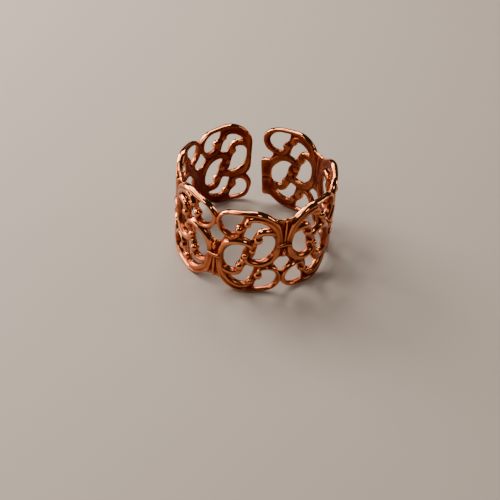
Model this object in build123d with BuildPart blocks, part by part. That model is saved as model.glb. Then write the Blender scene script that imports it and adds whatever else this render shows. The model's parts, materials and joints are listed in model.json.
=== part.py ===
# Open filigree band: seven scrollwork motifs cast in one strip, bent into a hoop that stays open behind.
# The axis is +Z and the hoop stands on its lower rim. The origin is on the axis at that rim.
# The free ends meet at +Y, so the middle motif faces -Y.
import os
from math import cos, radians, sin, tan

from build123d import *

os.makedirs("parts", exist_ok=True)

# Hoop
bore_diameter = 17.2
wall_thickness = 0.85
band_height = 11.5
end_gap_angle = 7.8

# Motifs
motif_count = 7
ball_diameter = 0.92
ball_bore_clearance = 0.04
groove_depth = 0.3

# Bars between the motifs
finial_width = 0.56
finial_height = 1.1
finial_stand = 0.1
collar_width = 1.55
collar_height = 0.4
collar_stand = 0.12

bore_radius = bore_diameter / 2
outer_radius = bore_radius + wall_thickness
middle_radius = bore_radius + wall_thickness / 2
motif_angle = (360 - end_gap_angle) / motif_count
half_angle = motif_angle / 2
half_width = radians(half_angle) * middle_radius
half_height = band_height / 2
ball_radius = ball_diameter / 2

# Outlines of the openings on one motif. Each row is a run of points, and the runs meet in corners.
# Columns: share of the motif's half width across, share of its half height up.
round_eye = [
    [(0.29, 0.455), (0.46, 0.465), (0.62, 0.415), (0.72, 0.32), (0.75, 0.20), (0.715, 0.08)]
    + [(0.63, -0.025), (0.50, -0.12), (0.37, -0.18), (0.22, -0.20), (0.08, -0.17)],
    [(0.08, -0.17), (0.15, -0.10), (0.19, -0.02), (0.205, 0.06), (0.23, 0.15), (0.28, 0.24)],
    [(0.28, 0.24), (0.295, 0.34), (0.29, 0.455)],
]
comma_eye = [
    [(0.06, 0.775), (0.18, 0.775), (0.34, 0.755), (0.53, 0.70), (0.67, 0.61)],
    [(0.67, 0.61), (0.54, 0.61), (0.40, 0.60), (0.26, 0.56), (0.16, 0.49), (0.10, 0.40), (0.04, 0.315)],
    [(0.04, 0.315), (-0.07, 0.34), (-0.18, 0.365)],
    [(-0.18, 0.365), (-0.15, 0.46), (-0.115, 0.56), (-0.05, 0.66), (0.06, 0.775)],
]
lobe_side = [(-0.42, 0.455), (-0.41, 0.55), (-0.38, 0.64), (-0.28, 0.71), (-0.235, 0.80), (-0.22, 0.90)]
lobe_eye = [
    [(-0.22, 0.90), (-0.43, 0.90), (-0.65, 0.87), (-0.81, 0.78), (-0.875, 0.66)]
    + [(-0.82, 0.54), (-0.69, 0.455), (-0.54, 0.425), (-0.42, 0.455)],
    lobe_side,
]

# The lobe at the narrow free end has a heavier rim.
end_eye = [
    [(-0.22, 0.90), (-0.43, 0.89), (-0.61, 0.85), (-0.73, 0.77), (-0.78, 0.66)]
    + [(-0.75, 0.54), (-0.66, 0.46), (-0.54, 0.425), (-0.42, 0.455)],
    lobe_side,
]

# Opening below a bar, between two lobes. It's centred on the joint between the motifs.
joint_eye = [
    [(-0.26, -0.30), (-0.18, -0.19), (-0.08, -0.13)],
    [(-0.08, -0.13), (0.08, -0.13)],
    [(0.08, -0.13), (0.18, -0.19), (0.26, -0.30)],
    [(0.26, -0.30), (0.15, -0.38), (0.00, -0.51), (-0.15, -0.38), (-0.26, -0.30)],
]

# Rim from the crest of a motif to its joint. Columns: share across from the joint, share up.
lobe_rim = [(-0.98, 1.01), (-0.77, 0.98), (-0.57, 0.965), (-0.37, 0.94), (-0.19, 0.89), (0.0, 0.77)]
bar_rim = [(-0.94, 1.01), (-0.80, 0.99), (-0.60, 0.95), (-0.42, 0.88), (-0.29, 0.82), (-0.15, 0.79), (0.0, 0.80)]

# Free ends, from the crest round the end to the foot. Columns: share across from the joint, share up.
narrow_end = [
    [(-0.94, 1.01), (-0.80, 0.99), (-0.60, 0.95), (-0.42, 0.88), (-0.28, 0.79), (-0.17, 0.67), (-0.12, 0.52)],
    [(-0.12, 0.52), (-0.12, -0.08)],
    [(-0.12, -0.08), (-0.17, -0.20), (-0.26, -0.30)],
    [(-0.26, -0.30), (-0.15, -0.38), (-0.08, -0.48), (-0.06, -0.59), (-0.11, -0.72), (-0.24, -0.84)]
    + [(-0.42, -0.91), (-0.62, -0.96), (-0.80, -0.98), (-0.98, -1.01)],
]
tab_end = [
    [(-0.98, 1.01), (-0.77, 0.98), (-0.57, 0.965), (-0.37, 0.94), (-0.17, 0.89), (0.00, 0.80)]
    + [(0.09, 0.69), (0.10, 0.59), (0.03, 0.47), (-0.10, 0.37), (-0.26, 0.30)],
    [(-0.26, 0.30), (-0.20, 0.20), (-0.12, 0.13)],
    [(-0.12, 0.13), (0.09, 0.13)],
    [(0.09, 0.13), (-0.02, -0.79)],
    [(-0.02, -0.79), (-0.15, -0.79), (-0.29, -0.82), (-0.42, -0.88), (-0.60, -0.95), (-0.80, -0.99), (-0.94, -1.01)],
]

# Grooves that part the doubled wires of an arch, and the stems of a bar. Same columns.
arch_groove = [
    [(0.02, 0.875), (0.12, 0.895), (0.27, 0.89), (0.46, 0.84), (0.63, 0.75), (0.78, 0.62), (0.84, 0.50)],
    [(0.84, 0.50), (0.74, 0.63), (0.60, 0.73), (0.44, 0.81), (0.26, 0.86), (0.12, 0.87), (0.02, 0.875)],
]
stem_groove = [
    [(0.045, 0.28), (0.10, 0.50), (0.17, 0.70)],
    [(0.17, 0.70), (0.13, 0.71), (0.09, 0.71)],
    [(0.09, 0.71), (0.05, 0.50), (0.025, 0.28)],
    [(0.025, 0.28), (0.045, 0.28)],
]
finial_groove = [
    [(0.085, -0.10), (0.13, 0.02), (0.085, 0.15)],
    [(0.085, 0.15), (0.165, 0.15)],
    [(0.165, 0.15), (0.19, 0.02), (0.165, -0.10)],
    [(0.165, -0.10), (0.085, -0.10)],
]
collar_rise = 0.215
finial_rise = -0.05

# Ball ends of the scrolls. Columns: share across, share up.
ball_places = [(-0.31, 0.555), (-0.095, 0.705), (0.235, 0.345), (0.096, 0.07)]


def facing(angle):
    """Plane through the axis at mid height, its normal out through the wall at this angle from -Y."""
    turn = radians(angle)
    return Plane(
        origin=(0, 0, half_height),
        x_dir=(cos(turn), sin(turn), 0),
        z_dir=(sin(turn), -cos(turn), 0),
    )


def through(runs, angle, across_sign, up_sign, near=0.85 * bore_radius, far=1.08 * outer_radius):
    """Solid whose sides are radial, from one closed outline set on the wall at this angle."""
    shares = [share for run in runs for share, rise in run]
    centre = across_sign * (min(shares) + max(shares)) / 2
    faces = []
    for reach in (near, far):
        edges = []
        for run in runs:
            points = []
            for share, rise in run:
                bend = radians((across_sign * share - centre) * half_angle)
                points.append((reach * tan(bend), up_sign * rise * half_height))
            edges.append(Line(*points) if len(points) == 2 else Spline(*points))
        plane = facing(angle + centre * half_angle)
        faces.append(plane.offset(reach) * make_face(edges))
    return loft(faces)


def mirrored(runs):
    """The same outline on the other side of its joint, its runs in order."""
    return [[(-share, rise) for share, rise in reversed(run)] for run in reversed(runs)]


def valley(side):
    """Space above the rim between the crests of two neighbours."""
    other = mirrored([side])[0]
    return [side, other, [other[-1], (other[-1][0], 1.15)], [(other[-1][0], 1.15), (side[0][0], 1.15)]] + [
        [(side[0][0], 1.15), side[0]]
    ]


def beyond(runs):
    """Space past a free end, above and below it too."""
    first, last = runs[0][0], runs[-1][-1]
    return runs + [
        [last, (last[0], -1.15)],
        [(last[0], -1.15), (0.3, -1.15)],
        [(0.3, -1.15), (0.3, 1.15)],
        [(0.3, 1.15), (first[0], 1.15)],
        [(first[0], 1.15), first],
    ]


def raised(outline, angle, rise, stand):
    """Low boss on the outside of the wall at this angle, standing proud of it."""
    plane = facing(angle).offset(middle_radius)
    face = plane * Pos(0, rise * half_height) * outline
    return extrude(face, wall_thickness / 2 + stand, dir=plane.z_dir)


def ball(angle, rise):
    """Ball end of a scroll, just clear of the bore."""
    place = facing(angle).offset(bore_radius + ball_bore_clearance + ball_radius)
    return place * Pos(0, rise * half_height) * Sphere(ball_radius)


groove_floor = outer_radius - groove_depth
openings = []
bosses = []
for motif in range(motif_count):
    angle = (motif - (motif_count - 1) / 2) * motif_angle
    hand = 1 if motif % 2 else -1
    for eye in (round_eye, comma_eye, lobe_eye):
        openings.append(through(eye, angle, hand, 1))
    lower_lobe_eye = lobe_eye if motif else end_eye
    for eye in (round_eye, comma_eye, lower_lobe_eye):
        openings.append(through(eye, angle, -hand, -1))
    for turn in (1, -1):
        openings.append(through(arch_groove, angle, turn * hand, turn, near=groove_floor))
        for across, rise in ball_places:
            bosses.append(ball(angle + turn * hand * across * half_angle, turn * rise))

for joint in range(1, motif_count):
    angle = (joint - motif_count / 2) * motif_angle
    bar_side = -1 if joint % 2 else 1
    openings.append(through(joint_eye, angle, 1, bar_side))
    openings.append(through(valley(bar_rim), angle, 1, bar_side))
    openings.append(through(valley(lobe_rim), angle, 1, -bar_side))
    for turn in (1, -1):
        openings.append(through(stem_groove, angle, turn, bar_side, near=groove_floor))
        openings.append(through(finial_groove, angle, turn, bar_side, near=groove_floor))
    collar = Rectangle(collar_width, collar_height)
    finial = Ellipse(finial_width / 2, finial_height / 2)
    bosses.append(raised(collar, angle, bar_side * collar_rise, collar_stand))
    bosses.append(raised(finial, angle, bar_side * finial_rise, finial_stand))

end_angle = motif_angle * motif_count / 2
openings.append(through(beyond(narrow_end), -end_angle, -1, 1))
openings.append(through(beyond(tab_end), end_angle, 1, 1))

with BuildPart() as filigree_band:
    with BuildSketch():
        Circle(outer_radius)
        Circle(bore_radius, mode=Mode.SUBTRACT)
    extrude(amount=band_height)
    add(openings, mode=Mode.SUBTRACT)
    add(bosses)

filigree_band.part.label = "filigree_band"
export_step(filigree_band.part, "parts/filigree_band.step")
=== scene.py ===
import json
from math import cos, pi, radians, sin

import bmesh
import bpy
import numpy as np
from mathutils import Matrix, Vector


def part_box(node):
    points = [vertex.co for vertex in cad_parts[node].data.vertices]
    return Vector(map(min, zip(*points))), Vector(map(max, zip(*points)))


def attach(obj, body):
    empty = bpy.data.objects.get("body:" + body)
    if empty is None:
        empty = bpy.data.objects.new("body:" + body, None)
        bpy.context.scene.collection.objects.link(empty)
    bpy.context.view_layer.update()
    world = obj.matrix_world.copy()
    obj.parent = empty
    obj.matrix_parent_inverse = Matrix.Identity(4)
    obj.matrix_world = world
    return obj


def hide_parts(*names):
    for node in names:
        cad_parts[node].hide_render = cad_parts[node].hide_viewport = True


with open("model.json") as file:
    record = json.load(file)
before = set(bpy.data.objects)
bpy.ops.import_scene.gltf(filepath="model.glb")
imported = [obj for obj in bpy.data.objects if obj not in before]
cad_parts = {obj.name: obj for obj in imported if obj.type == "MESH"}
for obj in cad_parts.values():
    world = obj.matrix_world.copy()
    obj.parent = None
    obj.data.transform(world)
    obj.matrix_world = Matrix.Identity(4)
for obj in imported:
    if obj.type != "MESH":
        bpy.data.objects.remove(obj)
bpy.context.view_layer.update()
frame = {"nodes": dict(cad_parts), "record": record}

# Web
# The thin floor of the ring, which is one strip of copper, cast with seven scroll motifs and bent
# into a hoop that stays open behind. It is pierced right through between the wires of the motifs.
mm = 0.001
bore_radius = frame["record"]["mounts"][0]["dims"]["r_mm"]
wall_thickness = 0.85
middle_radius = bore_radius + wall_thickness / 2
same_point = 1e-7

# mm out from the middle of the wall
back_clearance = 0.02
back = -wall_thickness / 2 + back_clearance
web_inside = -0.25
web_outside = -0.02

casting = bmesh.new()
casting.from_mesh(frame["nodes"]["filigree_band"].data)
bmesh.ops.remove_doubles(casting, verts=casting.verts, dist=same_point)
for vert in casting.verts:
    place = vert.co / mm
    reach = place.xy.length
    share = (reach - bore_radius) / wall_thickness
    place.xy *= (middle_radius + web_inside + (web_outside - web_inside) * share) / reach
    vert.co = place

# Wires
# Three copper wires draw half a motif: the rim with its lobe, the arch that winds in beside it, and
# the hook inside the arch. They are half round with a flat back, and are cast with the web.

# Columns: mm across from the middle of the motif, mm up from it, share of the wire's width.
rim_line = [
    (3.60, 1.25, 0.7), (3.50, 2.3, 0.75), (3.28, 3.2, 0.9), (2.98, 3.95, 1), (2.58, 4.47, 1),
    (2.08, 4.88, 1), (1.45, 5.24, 1), (0.8, 5.44, 1), (0.1, 5.49, 1), (-0.6, 5.44, 0.9),
    (-1.4, 5.37, 0.85), (-2.15, 5.30, 0.85), (-2.8, 5.10, 0.9), (-3.30, 4.76, 0.95),
    (-3.62, 4.25, 1), (-3.70, 3.65, 1), (-3.52, 3.0, 1), (-3.1, 2.45, 1), (-2.55, 2.14, 1),
    (-1.95, 2.08, 1), (-1.45, 2.30, 1), (-1.22, 2.75, 1), (-1.22, 3.2, 1),
]
arch_line = [
    (-0.38, 4.05, 0.9), (-0.25, 4.45, 0.9), (0.25, 4.77, 0.9), (0.95, 4.80, 1), (1.7, 4.52, 1),
    (2.33, 4.05, 1), (2.80, 3.45, 1), (3.10, 2.6, 0.95), (3.24, 1.7, 0.85), (3.27, 0.9, 0.85),
    (3.15, 0.1, 1), (2.85, -0.58, 1.05), (2.28, -1.15, 1.1), (1.6, -1.46, 1.1),
    (0.85, -1.52, 1.05), (0.15, -1.30, 1), (-0.22, -0.95, 0.9), (-0.38, -0.5, 0.8),
]
hook_line = [
    (3.1, 2.60, 0.8), (2.7, 2.84, 0.9), (2.2, 3.02, 1), (1.7, 3.06, 1), (1.25, 2.93, 1),
    (0.96, 2.6, 0.95), (0.80, 2.15, 0.9), (0.68, 1.6, 0.85), (0.5, 1.1, 0.8),
]

# Columns: line of the wire, its width in mm.
wires = [(rim_line, 0.54), (arch_line, 0.80), (hook_line, 0.86)]

# Section of a wire. Columns: share of its width across, mm out from the middle of the wall.
half_round = [
    (0.39, -0.39), (0, -0.40), (-0.39, -0.39), (-0.5, -0.22), (-0.5, 0.10),
    (-0.28, 0.34), (0, 0.42), (0.28, 0.34), (0.5, 0.10), (0.5, -0.22),
]
steps_round_section = 2
steps_along_wire = 5


def smooth_run(curve, places):
    """Adds a smooth run through these places to a curve and returns its knots."""
    run = curve.splines.new("BEZIER")
    run.bezier_points.add(len(places) - 1)
    for knot, place in zip(run.bezier_points, places):
        knot.co = place
        knot.handle_left_type = knot.handle_right_type = "AUTO"
    return run


def finished(shaped):
    """Mesh of an object with all its modifiers or its bevel applied."""
    bpy.context.scene.collection.objects.link(shaped)
    applied = shaped.evaluated_get(bpy.context.evaluated_depsgraph_get())
    return bpy.data.meshes.new_from_object(applied)


def add_wire(flat, line, width, height=1, lift=0):
    """Adds a half-round wire along a smooth line to the flat strip."""
    section = bpy.data.curves.new("section", "CURVE")
    section.dimensions = "2D"
    section.resolution_u = steps_round_section
    corners = [(share * width, out * height + lift, 0) for share, out in half_round]
    outline = smooth_run(section, corners)
    outline.use_cyclic_u = True
    curve = bpy.data.curves.new("wire", "CURVE")
    curve.dimensions = "3D"
    curve.twist_mode = "Z_UP"
    curve.resolution_u = steps_along_wire
    curve.bevel_mode = "OBJECT"
    curve.bevel_object = bpy.data.objects.new("section", section)
    curve.use_fill_caps = True
    run = smooth_run(curve, [(across, up, 0) for across, up, share in line])
    for knot, (across, up, share) in zip(run.bezier_points, line):
        knot.radius = share
    carrier = bpy.data.objects.new("wire", curve)
    mesh = finished(carrier)
    wire = bmesh.new()
    wire.from_mesh(mesh)
    bmesh.ops.remove_doubles(wire, verts=wire.verts, dist=same_point / mm)
    bmesh.ops.recalc_face_normals(wire, faces=wire.faces)
    wire.to_mesh(mesh)
    wire.free()
    flat.from_mesh(mesh)
    bpy.data.objects.remove(curve.bevel_object)
    bpy.data.objects.remove(carrier)
    bpy.data.curves.remove(section)
    bpy.data.curves.remove(curve)
    bpy.data.meshes.remove(mesh)


motif = bmesh.new()
for line, width in wires:
    add_wire(motif, line, width)

# Ball ends
# The tip of each wire is rolled into a copper ball, and more of them sit where two wires meet. They
# are cast with the wires, and their flat backs lie on the inside of the hoop.

# Columns: mm across, mm up, radius in mm.
balls = [(-1.23, 3.19, 0.53), (-0.36, 4.10, 0.45), (0.93, 1.98, 0.54), (0.38, 0.42, 0.44)]

# mm out from the middle of the wall: the middle of a ball and the foot of its straight side. Below
# that, the ball narrows by the slope as far as its back.
ball_out = 0.06
ball_side = -0.20
ball_slope = 0.12

ball_steps = 3
ball_sides = 24
for across, up, radius in balls:
    place = Matrix.Translation((across, up, ball_out)) @ Matrix.Scale(radius, 4)
    bmesh.ops.create_icosphere(motif, subdivisions=ball_steps, radius=1, matrix=place)
    stands = [(back, ball_side, radius - ball_slope), (ball_side, ball_out, radius)]
    for low, high, low_radius in stands:
        bmesh.ops.create_cone(
            motif,
            cap_ends=True,
            segments=ball_sides,
            radius1=low_radius,
            radius2=radius,
            depth=high - low,
            matrix=Matrix.Translation((across, up, (low + high) / 2)),
        )

# Motifs
# Two halves, one turned by half a turn, make a motif. Seven copper motifs are cast side by side,
# every second one a mirror image. The first is filed narrow, and the last is drawn out to a tab.
motif_count = 7
end_gap_angle = radians(7.8)
motif_angle = (2 * pi - end_gap_angle) / motif_count
mid_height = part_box("filigree_band")[1].z / mm / 2

# mm across at the narrow end: where the filing starts, and its end before and after
narrow_from = -2.45
narrow_was = -3.97
narrow_to = -3.56

# mm across and up at the tab end, whose upper lobe is stretched
tab_lobe_stretch = 1.16
tab_lobe_from = 1.5
tab_lobe_foot = 1.8
tab_reach = 4.245
tab_lean = 0.1


def bend_round(flat, angle, hand, up_side):
    """Bends the flat strip round the hoop at this angle from -Y and adds it to the casting."""
    for vert in flat.verts:
        across, up, out = vert.co
        turn = angle + hand * across / middle_radius
        reach = middle_radius + max(out, back)
        vert.co = (reach * sin(turn), -reach * cos(turn), mid_height + up_side * up)
    if hand * up_side < 0:
        bmesh.ops.reverse_faces(flat, faces=flat.faces)
    mesh = bpy.data.meshes.new("bent")
    flat.to_mesh(mesh)
    flat.free()
    casting.from_mesh(mesh)
    bpy.data.meshes.remove(mesh)


half = motif.verts[:] + motif.edges[:] + motif.faces[:]
other_half = bmesh.ops.duplicate(motif, geom=half)["geom"]
other_verts = [item for item in other_half if isinstance(item, bmesh.types.BMVert)]
bmesh.ops.rotate(motif, matrix=Matrix.Rotation(pi, 3, "Z"), verts=other_verts)
last_angle = (motif_count - 1) / 2 * motif_angle
for number in range(motif_count):
    hand = 1 if number % 2 else -1
    flat = motif.copy()
    for vert in flat.verts:
        side = hand * vert.co.x
        if number == 0 and side < narrow_from:
            share = (side - narrow_from) / (narrow_was - narrow_from)
            side = narrow_from + share * (narrow_to - narrow_from)
        if number == motif_count - 1 and side > tab_lobe_from:
            if vert.co.y > tab_lobe_foot:
                side = tab_lobe_from + (side - tab_lobe_from) * tab_lobe_stretch
            else:
                side = min(side, tab_reach + tab_lean * vert.co.y)
        vert.co.x = hand * side
    bend_round(flat, number * motif_angle - last_angle, hand, 1)

# Bars
# A copper bar joins each motif to the next and is cast with them. It has a stem, a collar across
# the stem's foot and an oval finial past the collar. Every second bar is upside down.

# Columns: mm across, mm up, share of the width.
stem_line = [(0, 4.40, 0.8), (0, 3.0, 1), (0, 1.3, 0.7)]
collar_line = [(-0.80, 1.16, 1), (0, 1.24, 1), (0.80, 1.16, 1)]

# Each width in mm, its relief as a share of a wire's, and how far out the collar is lifted, in mm.
stem_width = 0.30
stem_relief = 0.95
collar_width = 0.48
collar_relief = 0.66
collar_lift = 0.28

# mm: across, up and out
finial_half_size = (0.24, 0.62, 0.44)
finial_out = 0.12

bar = bmesh.new()
add_wire(bar, stem_line, stem_width, stem_relief)
add_wire(bar, collar_line, collar_width, collar_relief, collar_lift)
place = Matrix.Translation((0, 0, finial_out)) @ Matrix.Diagonal((*finial_half_size, 1))
bmesh.ops.create_icosphere(bar, subdivisions=ball_steps, radius=1, matrix=place)
for joint in range(1, motif_count):
    angle = (joint - motif_count / 2) * motif_angle
    bend_round(bar.copy(), angle, 1, -1 if joint % 2 else 1)

# Tab
# A flat copper plate, cast with the lower half of the last motif. Its outer corners are rounded,
# its edge leans in towards the foot, and a shallow groove crosses its inside.

# mm: across, up and out
tab_size = (1.40, 5.3, 0.62)
tab_middle = (3.615, -1.90, -0.09)

tab_corner = 0.38
tab_corner_steps = 4

# mm: how far up the groove lies, its half width and depth, and how near counts as on it
tab_crease = -1.9
crease_side = 0.2
crease_depth = 0.18
on_crease = 0.02

# mm across: where the plate starts to lean, over how much it does, and its shift at mid height
lean_from = 3.4
lean_over = 0.9
lean_shift = 0.05
tab = bmesh.new()
bmesh.ops.create_cube(tab, size=1)
bmesh.ops.scale(tab, vec=tab_size, verts=tab.verts)
bmesh.ops.translate(tab, vec=tab_middle, verts=tab.verts)
outer_corners = []
for edge in tab.edges:
    start, end = edge.verts
    if min(start.co.x, end.co.x) > tab_middle[0] and start.co.z * end.co.z < 0:
        outer_corners.append(edge)
bmesh.ops.bevel(
    tab,
    geom=outer_corners,
    offset=tab_corner,
    segments=tab_corner_steps,
    profile=0.5,
    affect="EDGES",
    material=-1,
)

# The plate is cut up and across here, in mm, so that it can bend with the hoop and take its groove.
cuts_up = [-4, -3, tab_crease - crease_side, tab_crease, tab_crease + crease_side, -1, 0]
cuts_across = [3.25, 3.5, 3.75, 4, 4.2]
cuts = [((0, up, 0), (0, 1, 0)) for up in cuts_up]
cuts += [((across, 0, 0), (1, 0, 0)) for across in cuts_across]
for point, normal in cuts:
    plate = tab.verts[:] + tab.edges[:] + tab.faces[:]
    bmesh.ops.bisect_plane(tab, geom=plate, plane_co=point, plane_no=normal)
bmesh.ops.triangulate(tab, faces=tab.faces)
for vert in tab.verts:
    if vert.co.x > lean_from:
        vert.co.x += (tab_lean * vert.co.y + lean_shift) * (vert.co.x - lean_from) / lean_over
    if abs(vert.co.y - tab_crease) < on_crease and vert.co.z < 0:
        vert.co.z += crease_depth
bend_round(tab, last_angle, 1, 1)

# Casting
# The molten copper ran into one skin, with soft fillets where the wires meet and a slight
# unevenness along them. So the parts are joined, roughened a little, smoothed and thinned.

# mm
finest_detail = 0.06
unevenness_spread = 1.6
unevenness = 0.07

share_of_faces_kept = 0.20
smoothing = 0.5
smoothing_rounds = 8
settling = 0.4
settling_rounds = 2

as_parts = bpy.data.meshes.new("casting")
casting.to_mesh(as_parts)
casting.free()
shaped = bpy.data.objects.new("casting", as_parts)
join = shaped.modifiers.new("join", "REMESH")
join.mode = "VOXEL"
join.voxel_size = finest_detail
lumps = bpy.data.textures.new("lumps", "CLOUDS")
lumps.noise_scale = unevenness_spread
uneven = shaped.modifiers.new("uneven", "DISPLACE")
uneven.texture = lumps
uneven.texture_coords = "LOCAL"
uneven.strength = unevenness
smooth = shaped.modifiers.new("smooth", "SMOOTH")
smooth.factor = smoothing
smooth.iterations = smoothing_rounds
thin = shaped.modifiers.new("thin", "DECIMATE")
thin.ratio = share_of_faces_kept
settle = shaped.modifiers.new("settle", "SMOOTH")
settle.factor = settling
settle.iterations = settling_rounds
mesh = finished(shaped)
bpy.data.objects.remove(shaped)

# Thinning leaves a speck, two faces back to back, where a small hollow was shut inside.
skin = bmesh.new()
skin.from_mesh(mesh)
specks = []
for vert in skin.verts:
    faces = vert.link_faces
    if len(faces) == 2 and set(faces[0].verts) == set(faces[1].verts):
        specks.append(vert)
bmesh.ops.delete(skin, geom=specks, context="VERTS")
skin.to_mesh(mesh)
skin.free()

# Tarnish and painted shade
# Brown tarnish on the copper lies in the hollows, darkened further with painted shade. Painted
# shade darkens the inside of the hoop, deepest on the side of the narrow end. Handling keeps the
# crests bright.

# How far smoothing moves the skin out, in mm, where the tarnish and painted shade start and over
# how much they grow.
tarnish_and_shade_from = -0.055
tarnish_and_shade_over = 0.085

# How squarely the skin faces the axis where the painted shade of the inside starts, and over how
# much more.
shaded_inside_from = 0.45
shaded_inside_over = 0.4

# How much painted shade the inside has over the tarnish of its hollows, and how that changes to the
# right.
inside_painted_shade = 0.35
inside_painted_shade_to_right = -0.25

softening_rounds = 30

shaped = bpy.data.objects.new("softened_skin", mesh)
soften = shaped.modifiers.new("soften", "SMOOTH")
soften.factor = smoothing
soften.iterations = softening_rounds
soft = finished(shaped)
places = np.empty(len(mesh.vertices) * 3)
soft_places = np.empty(len(mesh.vertices) * 3)
facing = np.empty(len(mesh.vertices) * 3)
mesh.vertices.foreach_get("co", places)
soft.vertices.foreach_get("co", soft_places)
mesh.vertices.foreach_get("normal", facing)
hollow = ((soft_places - places) * facing).reshape(-1, 3).sum(1)
level = places.reshape(-1, 3)[:, :2]
inward = -(facing.reshape(-1, 3)[:, :2] * level).sum(1) / np.hypot(*level.T)
# Brown tarnish with painted shade in the hollows, where smoothing moves the skin out.
tarnish_and_shade = np.clip((hollow - tarnish_and_shade_from) / tarnish_and_shade_over, 0, 1)
# Painted shade on the inside of the hoop, deeper towards the narrow end on the left, which faces
# away from the light.
inside_shade_depth = inside_painted_shade + inside_painted_shade_to_right * level[:, 0] / middle_radius
tarnish_and_shade += inside_shade_depth * np.clip((inward - shaded_inside_from) / shaded_inside_over, 0, 1)
layer = mesh.attributes.new("tarnish_and_shade", "FLOAT", "POINT")
layer.data.foreach_set("value", np.clip(tarnish_and_shade, 0, 1))
bpy.data.objects.remove(shaped)
bpy.data.meshes.remove(soft)

# Finished band
# The whole ring, one piece of bare cast copper, bright on the crests and dull brown in the tarnish
# and the painted shade. The mould left a fine grain on it.
# The dark brown colour serves both the tarnish and the painted shade.
bright_copper = (0.74, 0.25, 0.095, 1)
brown_tarnish_and_shade = (0.18, 0.017, 0.004, 1)
bright_roughness = 0.10
dull_roughness = 0.33
grains_per_metre = 1400
grain_detail = 4
grain_depth = 0.03 * mm
grain_strength = 0.2

metal = bpy.data.materials.new("copper")
metal.use_nodes = True
nodes = metal.node_tree.nodes
links = metal.node_tree.links
shader = nodes["Principled BSDF"]
shader.inputs["Metallic"].default_value = 1.0
# Mask of tarnish and painted shade, which darkens the colour and dulls the surface.
tarnish_and_shade_mask = nodes.new("ShaderNodeAttribute")
tarnish_and_shade_mask.attribute_name = "tarnish_and_shade"
tint = nodes.new("ShaderNodeMix")
tint.data_type = "RGBA"
tint.inputs["A"].default_value = bright_copper
tint.inputs["B"].default_value = brown_tarnish_and_shade
links.new(tarnish_and_shade_mask.outputs["Fac"], tint.inputs["Factor"])
links.new(tint.outputs["Result"], shader.inputs["Base Color"])
gloss = nodes.new("ShaderNodeMapRange")
gloss.inputs["To Min"].default_value = bright_roughness
gloss.inputs["To Max"].default_value = dull_roughness
links.new(tarnish_and_shade_mask.outputs["Fac"], gloss.inputs["Value"])
links.new(gloss.outputs["Result"], shader.inputs["Roughness"])
coords = nodes.new("ShaderNodeTexCoord")
grain = nodes.new("ShaderNodeTexNoise")
grain.inputs["Scale"].default_value = grains_per_metre
grain.inputs["Detail"].default_value = grain_detail
links.new(coords.outputs["Object"], grain.inputs["Vector"])
bump = nodes.new("ShaderNodeBump")
bump.inputs["Strength"].default_value = grain_strength
bump.inputs["Distance"].default_value = grain_depth
links.new(grain.outputs["Fac"], bump.inputs["Height"])
links.new(bump.outputs["Normal"], shader.inputs["Normal"])

mesh.transform(Matrix.Scale(mm, 4))
mesh.shade_smooth()
mesh.materials.append(metal)
band = bpy.data.objects.new("cast_band", mesh)
bpy.context.scene.collection.objects.link(band)
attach(band, "root")
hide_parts("filigree_band")

# Floor
# A plain pale floor with a matt finish. The ring stands on it by its own weight, on the crests of
# its lower rim.
floor_metres = 2
floor_colour = (0.36, 0.305, 0.26, 1)
floor_roughness = 0.7
bpy.ops.mesh.primitive_plane_add(size=floor_metres)
floor = bpy.context.object
floor.name = "floor"
matt = bpy.data.materials.new("matt_floor")
matt.use_nodes = True
matt.node_tree.nodes["Principled BSDF"].inputs["Base Color"].default_value = floor_colour
matt.node_tree.nodes["Principled BSDF"].inputs["Roughness"].default_value = floor_roughness
floor.data.materials.append(matt)

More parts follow.
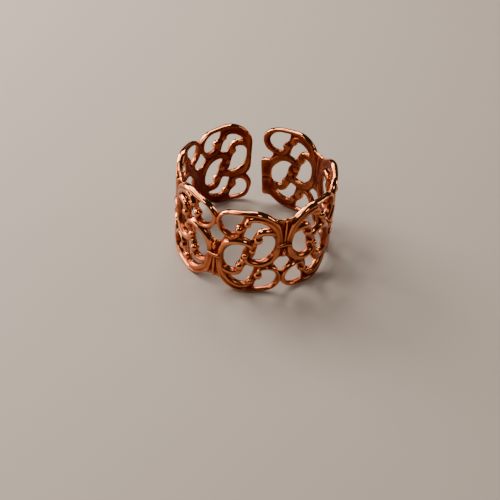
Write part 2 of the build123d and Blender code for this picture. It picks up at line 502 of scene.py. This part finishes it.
# Camera
# It looks down at the ring from the side of the middle motif, turned and tilted a little, from
# 12 cm away. Its place was fitted to the ball ends of the ring.
elevation = radians(39.57)
camera_turn = radians(1.19)
roll = radians(4.98)
distance = 120 * mm
aim_height = 5.92 * mm
frame_px = 500
focal_px = 1008.1
aim_px = (254.61, 203.71)
sensor_width = 36
nearest = 1 * mm
right = Vector((cos(roll), sin(elevation) * sin(roll), cos(elevation) * sin(roll)))
up = Vector((-sin(roll), sin(elevation) * cos(roll), cos(elevation) * cos(roll)))
away = Vector((0, -cos(elevation), sin(elevation)))
pixel = distance / focal_px
place = Vector((0, 0, aim_height)) + away * distance
place -= right * (aim_px[0] - frame_px / 2) * pixel
place += up * (aim_px[1] - frame_px / 2) * pixel
camera_data = bpy.data.cameras.new("camera")
camera_data.lens = focal_px / frame_px * sensor_width
camera_data.sensor_width = sensor_width
camera_data.clip_start = nearest
camera = bpy.data.objects.new("camera", camera_data)
bpy.context.scene.collection.objects.link(camera)
axes = Matrix((right, up, away)).transposed().to_4x4()
camera.matrix_world = Matrix.Rotation(camera_turn, 4, "Z") @ Matrix.Translation(place) @ axes
bpy.context.scene.camera = camera

# Light
# Soft warm light comes mostly from behind on the left, as from windows, so the wires shine on that
# side, with a little from the right and from above the camera.
lamp_distance = 250 * mm
warm = (1, 0.93, 0.86)

# Columns: name, degrees round to the right from the front, degrees up, metres wide, metres high,
# watts.
lamps = [
    ("key", -120, 30, 0.13, 0.11, 0.90),
    ("sill", -92, 9, 0.28, 0.05, 0.32),
    ("upper", -62, 52, 0.10, 0.09, 0.19),
    ("shoulder", -122, 58, 0.12, 0.08, 0.20),
    ("behind", -168, 46, 0.12, 0.10, 0.32),
    ("right", 112, 28, 0.06, 0.09, 0.11),
    ("front", 30, 52, 0.06, 0.05, 0.07),
]
for name, around, height, wide, high, watts in lamps:
    data = bpy.data.lights.new(name, "AREA")
    data.shape = "RECTANGLE"
    data.size = wide
    data.size_y = high
    data.energy = watts
    data.color = warm
    turn = radians(around)
    rise = radians(height)
    lamp = bpy.data.objects.new(name, data)
    towards = Vector((cos(rise) * sin(turn), -cos(rise) * cos(turn), sin(rise)))
    lamp.location = towards * lamp_distance
    lamp.rotation_euler = (-lamp.location).to_track_quat("-Z", "Y").to_euler()
    bpy.context.scene.collection.objects.link(lamp)

room_grey = (0.5, 0.5, 0.5, 1)
room_strength = 0.06
world = bpy.context.scene.world or bpy.data.worlds.new("world")
bpy.context.scene.world = world
world.use_nodes = True
world.node_tree.nodes["Background"].inputs["Color"].default_value = room_grey
world.node_tree.nodes["Background"].inputs["Strength"].default_value = room_strength
